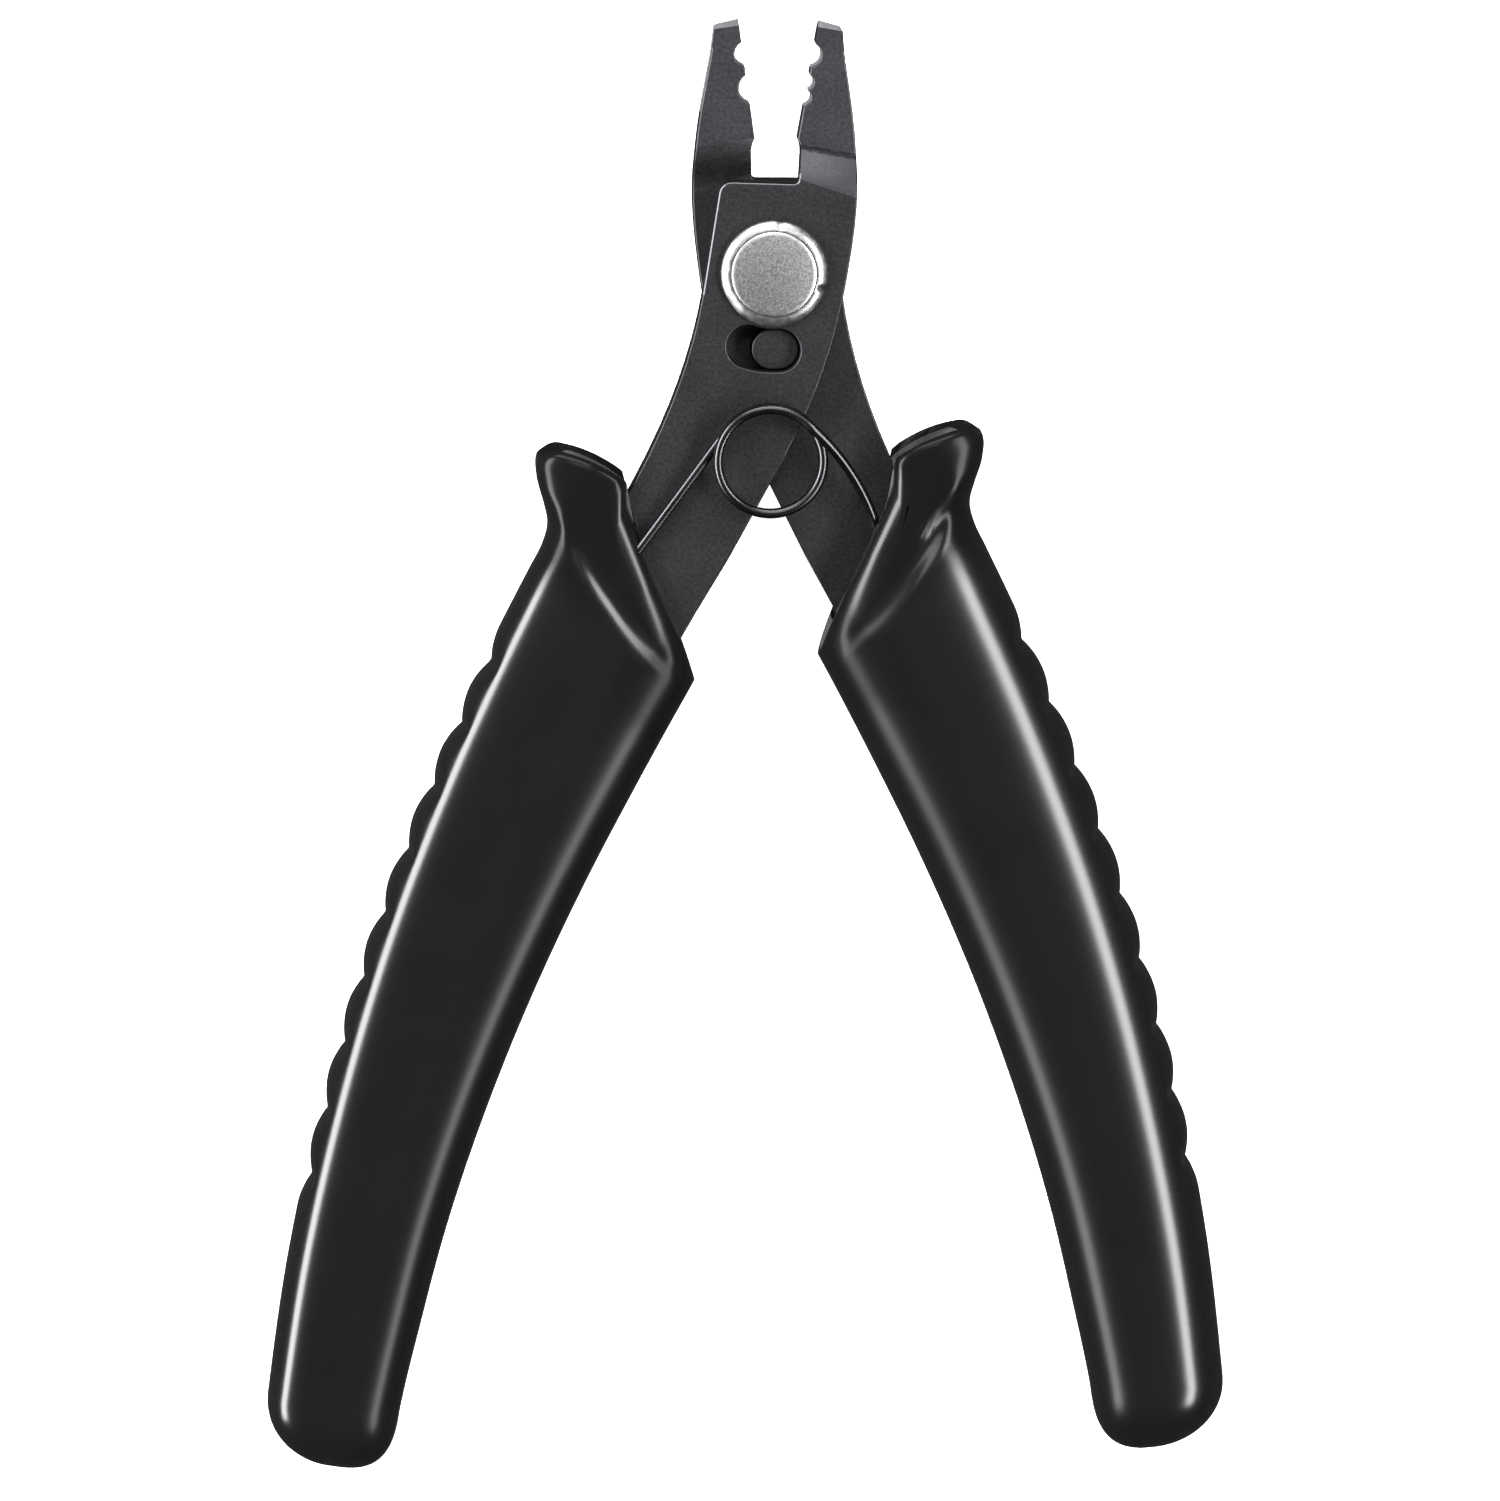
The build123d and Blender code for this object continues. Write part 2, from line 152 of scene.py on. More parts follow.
def handle_point(below, outward):
    """x and y in the frame of a closed lever, from a place beside the handle line."""
    angle = HANDLE_LEAN - below / HANDLE_RADIUS
    reach = HANDLE_RADIUS + outward
    x = HANDLE_START[0] + HANDLE_RADIUS * cos(HANDLE_LEAN) - reach * np.cos(angle)
    y = HANDLE_START[1] - HANDLE_RADIUS * sin(HANDLE_LEAN) + reach * np.sin(angle)
    return x, y


def in_tool(body, x, y, z):
    """Points of a closed lever's frame, as metres in the tool's frame, with the pliers open."""
    side = 1 if body == "front" else -1
    across = side * (x * cos(HALF_OPEN) + y * sin(HALF_OPEN))
    along = -x * sin(HALF_OPEN) + y * cos(HALF_OPEN)
    return np.stack(np.broadcast_arrays(across, along, MIDDLE + side * z), axis=-1) * MM


# Materials


def linear(hex_colour):
    """An sRGB hex colour as linear red, green, blue and alpha."""
    channels = [int(hex_colour[i : i + 2], 16) / 255 for i in (1, 3, 5)]
    return [c / 12.92 if c <= 0.04045 else ((c + 0.055) / 1.055) ** 2.4 for c in channels] + [1.0]


def feed(tree, node, inputs):
    """Gives a node its inputs, which are values or other nodes' outputs."""
    for name, value in inputs.items():
        if isinstance(value, bpy.types.NodeSocket):
            tree.links.new(value, node.inputs[name])
        else:
            node.inputs[name].default_value = value


def add_node(tree, kind, inputs=None, **settings):
    """Adds a node, with its settings and then its inputs."""
    node = tree.nodes.new(kind)
    for name, value in settings.items():
        setattr(node, name, value)
    feed(tree, node, inputs or {})
    return node


def compute(tree, operation, *inputs):
    return add_node(tree, "ShaderNodeMath", dict(enumerate(inputs)), operation=operation).outputs[0]


def noise(tree, vector, scale, detail):
    inputs = {"Vector": vector, "Scale": scale, "Detail": detail}
    return add_node(tree, "ShaderNodeTexNoise", inputs).outputs["Fac"]


def mix(tree, share, first, second):
    """A colour between two others."""
    inputs = {"Factor": share, "A": first, "B": second}
    return add_node(tree, "ShaderNodeMix", inputs, data_type="RGBA").outputs["Result"]


def remap(tree, value, source, target, kind="LINEAR"):
    """A value brought from one range into another."""
    inputs = {"Value": value, "From Min": source[0], "From Max": source[1]}
    inputs |= {"To Min": target[0], "To Max": target[1]}
    return add_node(tree, "ShaderNodeMapRange", inputs, interpolation_type=kind).outputs["Result"]


def new_material(name, **surface):
    """A material with only its shader; finish_surface gives it its pattern."""
    material = bpy.data.materials.new(name)
    material.use_nodes = True
    tree = material.node_tree
    shader = tree.nodes["Principled BSDF"]
    for socket, value in surface.items():
        shader.inputs[socket.replace("_", " ")].default_value = value
    return material, tree, shader


def finish_surface(tree, shader, tint, roughness, height, strength, depth):
    """Gives a shader its colour, its roughness, and relief this many millimetres deep from a height."""
    bump = add_node(tree, "ShaderNodeBump", {"Height": height, "Strength": strength, "Distance": depth * MM})
    feed(tree, shader, {"Base Color": tint, "Roughness": roughness, "Normal": bump.outputs["Normal"]})


def gloss_pvc(settings):
    """Black PVC from a polished mould: a deep gloss with faint flow waves, duller where the palm rubs it."""
    material, tree, shader = new_material("gloss moulded PVC, black", IOR=1.5)
    place = add_node(tree, "ShaderNodeTexCoord").outputs["Object"]
    across = add_node(tree, "ShaderNodeAttribute", attribute_name="across").outputs["Fac"]
    polish = add_node(tree, "ShaderNodeAttribute", attribute_name="polish").outputs["Fac"]
    # flow waves about 6 mm long, and a grain of 0.4 mm
    waves = noise(tree, place, 1 / (6 * MM), 2.0)
    grain = noise(tree, place, 1 / (0.4 * MM), 3.0)
    tint = mix(tree, waves, settings.skin_dark, settings.skin_pale)
    palm = remap(tree, across, (1.5, -3.5), (0.22, 0.28), "SMOOTHSTEP")
    finish_surface(tree, shader, tint, palm, compute(tree, "MULTIPLY_ADD", grain, 0.15, waves), 0.12, 0.05)
    feed(tree, shader, {"Specular Tint": polish})
    return material


def cut_pvc():
    """The same PVC where the mouth was trimmed: paler and matt, with knife drag."""
    material, tree, shader = new_material("trimmed PVC, matt", IOR=1.5)
    place = add_node(tree, "ShaderNodeTexCoord").outputs["Object"]
    drag = noise(tree, place, 1 / (0.35 * MM), 4.0)
    tint = mix(tree, drag, linear("#1c1c1d"), linear("#454546"))
    finish_surface(tree, shader, tint, 0.65, drag, 0.5, 0.05)
    return material


def black_oxide(name, head_colour, jaw_colour, turn, bend_shade_line):
    """Steel plate blackened in hot oxide: charcoal, satin, faintly mottled, with hairlines from tumbling.
    The jaw is a little paler than the head, and along the top of the bend runs a darker line of painted
    shade, also pressed in as a ragged groove."""
    material, tree, shader = new_material(name, Metallic=1.0)
    place = add_node(tree, "ShaderNodeTexCoord").outputs["Object"]
    upright = add_node(tree, "ShaderNodeMapping", {"Vector": place, "Rotation": (0, 0, turn)})
    upright = upright.outputs["Vector"]
    height = add_node(tree, "ShaderNodeSeparateXYZ", {"Vector": upright}).outputs["Y"]
    cloud = noise(tree, place, 1 / (4 * MM), 4.0)
    mottle = noise(tree, place, 1 / (0.3 * MM), 5.0)
    # hairlines 0.1 mm wide and a few millimetres long
    stretch = (1 / (0.1 * MM), 1 / (3 * MM), 1 / (3 * MM))
    fine = add_node(tree, "ShaderNodeMapping", {"Vector": upright, "Scale": stretch})
    hairs = noise(tree, fine.outputs["Vector"], 1.0, 2.0)
    jaw = remap(tree, height, (6.5 * MM, RAMP_END * MM + 0.002), (0.0, 1.0), "SMOOTHSTEP")
    shade = remap(tree, cloud, (0.3, 0.7), (0.9, 1.1))
    tint = {0: mix(tree, jaw, head_colour, jaw_colour), "Scale": shade}
    tint = add_node(tree, "ShaderNodeVectorMath", tint, operation="SCALE").outputs["Vector"]
    # painted shade: a darker line along the top of the bend, 0.5 mm wide, with a ragged edge, also pressed in
    # as a groove
    ragged = compute(tree, "MULTIPLY_ADD", mottle, 0.5 * MM, height)
    away = compute(tree, "ABSOLUTE", compute(tree, "SUBTRACT", ragged, (RAMP_END + 0.2) * MM))
    line = remap(tree, away, (0.1 * MM, 0.32 * MM), (1.0 if bend_shade_line else 0.0, 0.0))
    tint = mix(tree, line, tint, linear("#232325"))
    rough = remap(tree, mottle, (0.3, 0.7), (0.4, 0.52))
    relief = compute(tree, "MULTIPLY_ADD", line, -2.0, mottle)
    relief = compute(tree, "MULTIPLY_ADD", hairs, 0.4, relief)
    finish_surface(tree, shader, tint, rough, relief, 0.25, 0.04)
    return material


def metal(name, dark, pale, roughness, grain, stretch=(1, 1, 1), relief=0.1, metallic=1.0):
    """Bare steel: two close tints mixed by a grain this many millimetres wide, which also gives relief."""
    material, tree, shader = new_material(name, Metallic=metallic)
    place = add_node(tree, "ShaderNodeTexCoord").outputs["Object"]
    scale = [axis / (grain * MM) for axis in stretch]
    scaled = add_node(tree, "ShaderNodeMapping", {"Vector": place, "Scale": scale})
    marks = noise(tree, scaled.outputs["Vector"], 1.0, 4.0)
    rough = remap(tree, marks, (0.3, 0.7), (roughness * 0.85, roughness * 1.15))
    finish_surface(tree, shader, mix(tree, marks, dark, pale), rough, marks, relief, 0.03)
    return material


# Pieces


def piece_from(name, vertices, faces, materials, sharp=radians(35)):
    """A mesh object at the origin, smooth but for edges sharper than this angle, normals outward."""
    mesh = bpy.data.meshes.new(name)
    mesh.from_pydata([tuple(v) for v in vertices], [], faces)
    return finish_piece(name, mesh, materials, sharp)


def finish_piece(name, mesh, materials, sharp=radians(35)):
    """Closes the mesh's seams, turns its faces outward, shades it and makes it an object."""
    work = bmesh.new()
    work.from_mesh(mesh)
    bmesh.ops.remove_doubles(work, verts=work.verts, dist=1e-7)
    bmesh.ops.recalc_face_normals(work, faces=work.faces)
    work.to_mesh(mesh)
    work.free()
    mesh.shade_smooth()
    mesh.set_sharp_from_angle(angle=sharp)
    for material in materials:
        mesh.materials.append(material)
    piece = bpy.data.objects.new(name, mesh)
    bpy.context.scene.collection.objects.link(piece)
    return piece


def ring_faces(start_a, start_b, count):
    """Quads between two closed rings of vertices."""
    return [
        (start_a + j, start_a + (j + 1) % count, start_b + (j + 1) % count, start_b + j) for j in range(count)
    ]


def section(settings, turn, below):
    """The grip's cross section at each column: distance from the handle line, and share of the height. Its
    four quarters are squared off by different amounts, and the thumb guard more than the rest."""
    outer, inner = profile(OUTER_EDGE, below), profile(INNER_EDGE, below)
    front = np.where(np.cos(turn) > 0, settings.outer_front, settings.inner_front)
    back = np.where(np.cos(turn) > 0, settings.outer_back, settings.inner_back)
    squareness = np.where(np.sin(turn) > 0, front, back)
    squareness = squareness + settings.guard_squareness * smooth_step(9.2, 13.0, outer) * (np.cos(turn) > 0)
    side, top = power(np.cos(turn), 2 / squareness), power(np.sin(turn), 2 / squareness)
    return np.where(side > 0, outer * side, inner * side), top


def grip_rows(settings):
    """Every row of the grip's skin, from the mouth to the tail: outward, below and height, per column."""
    columns = settings.columns
    turn = 2 * pi * np.arange(columns) / columns
    upper = np.concatenate((np.linspace(0, 0.3, 26), np.linspace(0.3, 1, 44)[1:]))
    body = np.linspace(STRAIGHT_FROM, TAIL_FROM, 210)[1:]
    tail = np.sin(np.linspace(0, pi / 2, 22))[1:-1]
    rows = []
    for share in upper:
        # a slanting row's width depends on its levels and they on its width, so both are found together
        outward = 8.5 * np.cos(turn)
        for _ in range(16):
            below = profile(MOUTH_LINE, outward) * (1 - share) + STRAIGHT_FROM * share
            placed, top = section(settings, turn, below)
            outward = 0.5 * outward + 0.5 * placed
        rows.append((outward, below, top))
    for level in body:
        below = np.full(columns, level)
        placed, top = section(settings, turn, below)
        rows.append((placed, below, top))
    shaped = [grip_relief(settings, *row) for row in rows]
    last_outward, last_below, last_height = shaped[-1]
    middle = (last_outward.max() + last_outward.min()) / 2
    for share in tail:
        width = (1 - share**TAIL_SQUARENESS) ** (1 / TAIL_SQUARENESS)
        outward = middle - TAIL_DRIFT * share**2 + (last_outward - middle) * width
        shaped.append((outward, last_below + TAIL_LENGTH * share, last_height * width**0.9))
    return shaped, (middle - TAIL_DRIFT, TAIL_FROM + TAIL_LENGTH)


def grip_relief(settings, outward, below, top):
    """Adds the collar, the mouth's lip and the thumb guard's thinning to one row of the grip."""
    height = profile(HALF_HEIGHT, below)
    # the body stands over the collar behind the crease
    past_crease = (below - profile(CREASE_LINE, outward)) * SLANT
    fade = smooth_step(-7.5, -4.0, outward) * (1 - smooth_step(6.5, 10.0, outward))
    step = settings.collar_step * (1 - smooth_step(-0.7, 0.7, past_crease)) * fade
    # the lip rolls into the mouth; it is wide beside the tang and tight along the guard's end
    past_mouth = np.maximum((below - profile(MOUTH_LINE, outward)) * 0.8, 0)
    radius = settings.lip_radius * (1 - 0.7 * smooth_step(4.5, 7.5, outward))
    short = np.clip(radius - past_mouth, 0, radius)
    lip = radius - np.sqrt(np.maximum(radius**2 - short**2, 0))
    height = height * (1 - 0.06 * smooth_step(9.0, 14.0, outward)) - step
    z = top * (height - (height - settings.lip_edge) * lip / settings.lip_radius)
    return outward, below, z


def grip_polish(outward, below):
    """How glossy the skin is, from 0 to 1: full on the body's outside, rubbed dull on the palm side and the
    thumb guard, with a glossy line left along the crease and the mouth's lip."""
    past_crease = np.abs(below - profile(CREASE_LINE, outward)) * SLANT
    past_mouth = (below - profile(MOUTH_LINE, outward)) * 0.8
    outside = smooth_step(-3.5, 0.5, outward)
    body = outside * smooth_step(-7.0, -1.5, below) + 0.32 * (1 - outside) * smooth_step(-1.0, 6.0, below)
    crease = 0.75 * (1 - smooth_step(0.7, 1.6, past_crease)) * smooth_step(-5.5, -1.5, outward)
    crease = crease * (1 - 0.7 * smooth_step(4.5, 7.5, outward))
    lip = 0.55 * (1 - smooth_step(1.8, 2.8, past_mouth)) * smooth_step(-6.0, -2.5, outward)
    lip = lip * (1 - smooth_step(5.5, 7.0, outward))
    return np.maximum.reduce([body, crease, lip, np.full(len(below), 0.18)])


def mouth_hole(settings, top, side, low, high):
    """The ring of the hole that the tang goes in, as outward, below and height."""
    narrow = 2 / 7
    half = (settings.hole_outer + settings.hole_inner) / 2
    outward = (settings.hole_outer - settings.hole_inner) / 2 + half * power(side, narrow)
    below = profile(MOUTH_LINE, outward)
    height = (high + low) / 2 + (high - low) / 2 * power(top, narrow)
    return outward, below, height


def scallop_tree():
    """Geometry nodes that press finger notches in a moulding's outer side and dress it in its plastic."""
    tree = bpy.data.node_groups.new("finger notches", "GeometryNodeTree")
    sockets = {}
    for label, kind in (
        ("Moulding", "Geometry"),
        ("Notches", "Int"),
        ("First Notch", "Float"),
        ("Pitch", "Float"),
        ("Depth", "Float"),
        ("Finish", "Material"),
    ):
        socket = tree.interface.new_socket(label, in_out="INPUT", socket_type=f"NodeSocket{kind}")
        sockets[label] = socket.identifier
    tree.interface.new_socket("Notched", in_out="OUTPUT", socket_type="NodeSocketGeometry")
    given = add_node(tree, "NodeGroupInput").outputs
    read = {
        label: add_node(
            tree, "GeometryNodeInputNamedAttribute", {"Name": label}, data_type=kind
        ).outputs["Attribute"]
        for label, kind in (
            ("along", "FLOAT"), ("facing", "FLOAT"), ("outward", "FLOAT_VECTOR"), ("skin", "BOOLEAN")
        )
    }
    value = read["along"]
    for operation, number in (("SUBTRACT", given["First Notch"]), ("DIVIDE", given["Pitch"])):
        value = compute(tree, operation, value, number)
    place = value
    # between two notches the side bulges as half a wave does, which leaves a crisp valley at each notch
    for operation, number in (("MULTIPLY", pi), ("SINE", 0.0), ("ABSOLUTE", 0.0), ("POWER", 0.8)):
        value = compute(tree, operation, value, number)
    valley = compute(tree, "SUBTRACT", 1.0, value)
    started = compute(tree, "GREATER_THAN", place, -0.5)
    going = compute(tree, "LESS_THAN", place, compute(tree, "SUBTRACT", given["Notches"], 0.5))
    for factor in (started, going, read["facing"], given["Depth"], -MM):
        valley = compute(tree, "MULTIPLY", valley, factor)
    press = add_node(
        tree, "ShaderNodeVectorMath", {0: read["outward"], "Scale": valley}, operation="SCALE"
    )
    pressed = add_node(
        tree,
        "GeometryNodeSetPosition",
        {"Geometry": given["Moulding"], "Offset": press.outputs["Vector"]},
    )
    real = add_node(tree, "GeometryNodeRealizeInstances", {"Geometry": pressed.outputs["Geometry"]})
    dressed = add_node(
        tree,
        "GeometryNodeSetMaterial",
        {
            "Geometry": real.outputs["Geometry"],
            "Selection": read["skin"],
            "Material": given["Finish"],
        },
    )
    add_node(tree, "NodeGroupOutput", {"Notched": dressed.outputs["Geometry"]})
    return tree, sockets


def notch(piece, settings, material):
    """Presses the finger notches in a grip and returns it as a plain mesh."""
    tree, sockets = scallop_tree()
    modifier = piece.modifiers.new("finger notches", "NODES")
    modifier.node_group = tree
    for label, value in (
        ("Notches", settings.notch_count),
        ("First Notch", settings.notch_start),
        ("Pitch", settings.notch_pitch),
        ("Depth", settings.notch_depth),
        ("Finish", material),
    ):
        modifier[sockets[label]] = value
    return plain_mesh(piece)


def make_grip(settings, name, body, seat, hole, materials):
    """One moulded grip: its skin, the cut rim round the mouth, the hole's wall and its floor. Seat is how far
    down its tang it sits, and hole is the hole's lowest and highest level."""
    shaped, tail_tip = grip_rows(settings)
    columns = settings.columns
    turn = 2 * pi * np.arange(columns) / columns
    rim = mouth_hole(settings, np.sin(turn), np.cos(turn), *hole)
    floor = (rim[0] * 0.98, rim[1] + settings.hole_depth, rim[2] * 0.98)
    mouth = shaped[0]
    chamfer = tuple(0.82 * a + 0.18 * b for a, b in zip(mouth, rim))
    rings = [floor, rim, chamfer] + shaped
    outward = np.concatenate([r[0] for r in rings] + [[tail_tip[0], np.mean(floor[0])]])
    below = np.concatenate([r[1] for r in rings] + [[tail_tip[1], np.mean(floor[1])]])
    height = np.concatenate([r[2] for r in rings] + [[0.0, np.mean(floor[2])]])
    x, y = handle_point(below + seat, outward)
    faces = []
    for i in range(len(rings) - 1):
        faces += ring_faces(i * columns, (i + 1) * columns, columns)
    tip, floor_middle = len(outward) - 2, len(outward) - 1
    last = (len(rings) - 1) * columns
    faces += [(last + j, last + (j + 1) % columns, tip) for j in range(columns)]
    faces += [((j + 1) % columns, j, floor_middle) for j in range(columns)]
    points = in_tool(body, x, y, height)
    piece = piece_from(name, points, faces, materials, radians(42))
    mesh = piece.data
    skin = np.ones(len(mesh.polygons), bool)
    skin[: 2 * columns] = False
    skin[-columns:] = False
    mesh.polygons.foreach_set("material_index", np.where(skin, 0, 1))
    mesh.attributes.new("skin", "BOOLEAN", "FACE").data.foreach_set("value", skin)
    turns = np.concatenate([np.cos(turn)] * len(rings) + [[0.0, 0.0]])
    facing = smooth_step(0.72, 0.97, turns)
    polish = grip_polish(outward, below)
    for label, values in (("across", outward), ("along", below), ("facing", facing), ("polish", polish)):
        mesh.attributes.new(label, "FLOAT", "POINT").data.foreach_set("value", values.astype(np.float32))
    x, y = handle_point(below + seat, outward + 1)
    away = (in_tool(body, x, y, height) - points) / MM
    mesh.attributes.new("outward", "FLOAT_VECTOR", "POINT").data.foreach_set("vector", away.ravel())
    return notch(piece, settings, materials[0])


def bend_edges(work, front):
    """The edges of the bend between head and jaw, but for the crushed one on the front lever's outer face."""
    found = []
    for edge in work.edges:
        if len(edge.link_faces) != 2 or not radians(20) < edge.calc_face_angle(0) < radians(40):
            continue
        middle = (edge.verts[0].co + edge.verts[1].co) / 2 / MM
        along = edge.verts[0].co - edge.verts[1].co
        near_bend = 6.5 < middle.y < 13.0 and abs(along.z) < 0.02 * MM
        crushed = front and middle.z > 7.0 and middle.y > 10.2
        if near_bend and not crushed:
            found.append(edge)
    return found


def bevelled_copy(node, name, materials, settings, keep):
    """The CAD node's own shape with its edges broken; keep says which faces take the bare material."""
    mesh = frame["nodes"][node].data.copy()
    mesh.materials.clear()
    work = bmesh.new()
    work.from_mesh(mesh)
    bmesh.ops.remove_doubles(work, verts=work.verts, dist=2e-6)
    bmesh.ops.dissolve_limit(work, angle_limit=radians(0.4), verts=work.verts, edges=work.edges)
    bends = bend_edges(work, node == "front_lever")
    bmesh.ops.bevel(
        work,
        geom=bends,
        offset=settings.bend * MM,
        offset_type="OFFSET",
        segments=6,
        profile=0.5,
        affect="EDGES",
    )
    tip = (JAW_REACH - END_BEVELS) * MM
    corners = [
        edge
        for edge in work.edges
        if len(edge.link_faces) == 2
        and edge.calc_face_angle(0) > radians(24)
        and max(vertex.co.y for vertex in edge.verts) < tip
    ]
    bmesh.ops.bevel(
        work,
        geom=corners,
        offset=settings.edge * MM,
        offset_type="OFFSET",
        segments=3,
        profile=0.5,
        affect="EDGES",
        clamp_overlap=False,
    )
    for edge in work.edges:
        flat = [abs(face.normal.z) > 0.9999 for face in edge.link_faces]
        edge.smooth = len(set(flat)) == 1
    for face in work.faces:
        face.smooth = True
    bmesh.ops.triangulate(work, faces=[f for f in work.faces if len(f.verts) > 4])
    work.to_mesh(mesh)
    work.free()
    mesh.name = name
    for material in materials:
        mesh.materials.append(material)
    for polygon in mesh.polygons:
        polygon.material_index = 1 if keep(polygon) else 0
    piece = bpy.data.objects.new(name, mesh)
    bpy.context.scene.collection.objects.link(piece)
    return piece


def plain_mesh(piece):
    """Turns a piece and its modifiers into a plain mesh object of the same name."""
    evaluated = piece.evaluated_get(bpy.context.evaluated_depsgraph_get())
    mesh = bpy.data.meshes.new_from_object(evaluated)
    name = piece.name
    bpy.data.objects.remove(piece)
    result = bpy.data.objects.new(name, mesh)
    bpy.context.scene.collection.objects.link(result)
    return result


def revolve(name, outline, height, down, materials, dents=()):
    """A round piece about the pivot. Outline is radius and height, from the middle or inner edge outward, and
    dents are bearing, width in degrees and depth."""
    count = 128
    angles = 2 * pi * np.arange(count) / count
    vertices, faces = [], []
    for radius, z in outline:
        dent = np.zeros(count)
        for at, wide, deep in dents:
            away = (np.degrees(angles) - at + 180) % 360 - 180
            dent += deep * np.exp(-((away / wide) ** 2))
        reach = radius - dent * smooth_step(3.9, 4.75, radius)
        level = z - dent * 0.8 * smooth_step(3.7, 4.3, radius) * (z > 0.3)
        flip = -1 if down else 1
        base = height + flip * level
        ring = np.stack((reach * np.cos(angles), reach * np.sin(angles), base), axis=-1)
        vertices += list(ring * MM)
    for i in range(len(outline) - 1):
        faces += ring_faces(i * count, (i + 1) * count, count)
    if outline[0][0] < 1e-3:
        return piece_from(name, vertices, faces, materials, radians(50))
    faces += ring_faces((len(outline) - 1) * count, 0, count)
    return piece_from(name, vertices, faces, materials, radians(50))


# The spring's path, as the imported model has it


def spring_path(settings):
    """Points of the left leg, the coil and the right leg, in millimetres in the tool's frame."""
    slope = atan(settings.coil_pitch / (2 * pi * settings.coil_radius))
    start = settings.coil_start
    low = MIDDLE + OUTER_FACE + 0.08 + settings.wire / 2 + settings.leg_length * sin(slope)
    turns = settings.coil_turns
    angles = start - 2 * pi * np.linspace(0, turns, int(turns * 72) + 1)
    share = np.linspace(0, turns, len(angles))
    coil = np.stack(
        (
            settings.coil_radius * np.cos(angles),
            settings.coil_centre + settings.coil_radius * np.sin(angles),
            low + settings.coil_pitch * share,
        ),
        axis=-1,
    )
    into = np.array((cos(slope) * sin(start), -cos(slope) * cos(start), sin(slope)))
    along = np.linspace(settings.leg_length, 0, 30)
    left = coil[0] - into * along[:, None]
    out = np.array((cos(slope) * sin(angles[-1]), -cos(slope) * cos(angles[-1]), sin(slope)))
    right = leg_to_grip(coil[-1], out)
    return left, coil, right


def leg_to_grip(start, out):
    """The right leg: a short downward bend, then an arc that ends in the right grip."""
    end = in_tool("rear", -6.25, -28.93, -1.6) / MM
    bend, lean = 3.0, radians(17.0)
    turn = lean + np.arcsin(out[2])
    sideways = np.cross((0, 0, 1), out)
    sideways = sideways / np.linalg.norm(sideways)
    down = np.cross(sideways, out)
    steps = np.linspace(0, turn, 8)[:, None]
    first = start + bend * (out * np.sin(steps) + down * (1 - np.cos(steps)))
    away = out * cos(turn) + down * sin(turn)
    chord = end - first[-1]
    normal = chord - away * np.dot(chord, away)
    normal = normal / np.linalg.norm(normal)
    half = np.arccos(np.dot(chord, away) / np.linalg.norm(chord))
    radius = np.linalg.norm(chord) / (2 * sin(half))
    steps = np.linspace(0, 2 * half, 40)[1:, None]
    second = first[-1] + radius * (away * np.sin(steps) + normal * (1 - np.cos(steps)))
    return np.concatenate((first, second))


def wire_tree():
    """Geometry nodes that draw a round wire along a curve."""
    tree = bpy.data.node_groups.new("drawn wire", "GeometryNodeTree")
    tree.interface.new_socket("Path", in_out="INPUT", socket_type="NodeSocketGeometry")
    thickness = tree.interface.new_socket("Wire Diameter", in_out="INPUT", socket_type="NodeSocketFloat")
    sides = tree.interface.new_socket("Sides", in_out="INPUT", socket_type="NodeSocketInt")
    caps = tree.interface.new_socket("Closed Ends", in_out="INPUT", socket_type="NodeSocketBool")
    finish = tree.interface.new_socket("Finish", in_out="INPUT", socket_type="NodeSocketMaterial")
    tree.interface.new_socket("Wire", in_out="OUTPUT", socket_type="NodeSocketGeometry")
    given = add_node(tree, "NodeGroupInput")
    half = compute(tree, "MULTIPLY", given.outputs["Wire Diameter"], 0.5)
    circle = add_node(
        tree,
        "GeometryNodeCurvePrimitiveCircle",
        {"Resolution": given.outputs["Sides"], "Radius": half},
    )
    swept = add_node(
        tree,
        "GeometryNodeCurveToMesh",
        {
            "Curve": given.outputs["Path"],
            "Profile Curve": circle.outputs["Curve"],
            "Fill Caps": given.outputs["Closed Ends"],
        },
    )
    smooth = add_node(tree, "GeometryNodeSetShadeSmooth", {"Geometry": swept.outputs["Mesh"]})
    real = add_node(tree, "GeometryNodeRealizeInstances", {"Geometry": smooth.outputs["Geometry"]})
    dressed = add_node(
        tree,
        "GeometryNodeSetMaterial",
        {"Geometry": real.outputs["Geometry"], "Material": given.outputs["Finish"]},
    )
    add_node(tree, "NodeGroupOutput", {"Wire": dressed.outputs["Geometry"]})
    return tree, (thickness.identifier, sides.identifier, caps.identifier, finish.identifier)


def wire_along(name, points, tree, sockets, diameter, material):
    """A stretch of wire through the points, as a plain mesh with open ends."""
    curve = bpy.data.curves.new(name, "CURVE")
    curve.dimensions = "3D"
    spline = curve.splines.new("POLY")
    spline.points.add(len(points) - 1)
    for point, place in zip(spline.points, points):
        point.co = (*(place * MM), 1)
    piece = bpy.data.objects.new(name, curve)
    bpy.context.scene.collection.objects.link(piece)
    modifier = piece.modifiers.new("drawn wire", "NODES")
    modifier.node_group = tree
    for socket, value in zip(sockets, (diameter * MM, 24, False, material)):
        modifier[socket] = value
    return plain_mesh(piece)


# Settings


def length(name, description, millimetres):
    return bpy.props.FloatProperty(
        name=name, description=description, default=millimetres * MM, unit="LENGTH", precision=5
    )


def angle(name, description, degrees):
    return bpy.props.FloatProperty(
        name=name, description=description, default=radians(degrees), subtype="ANGLE"
    )


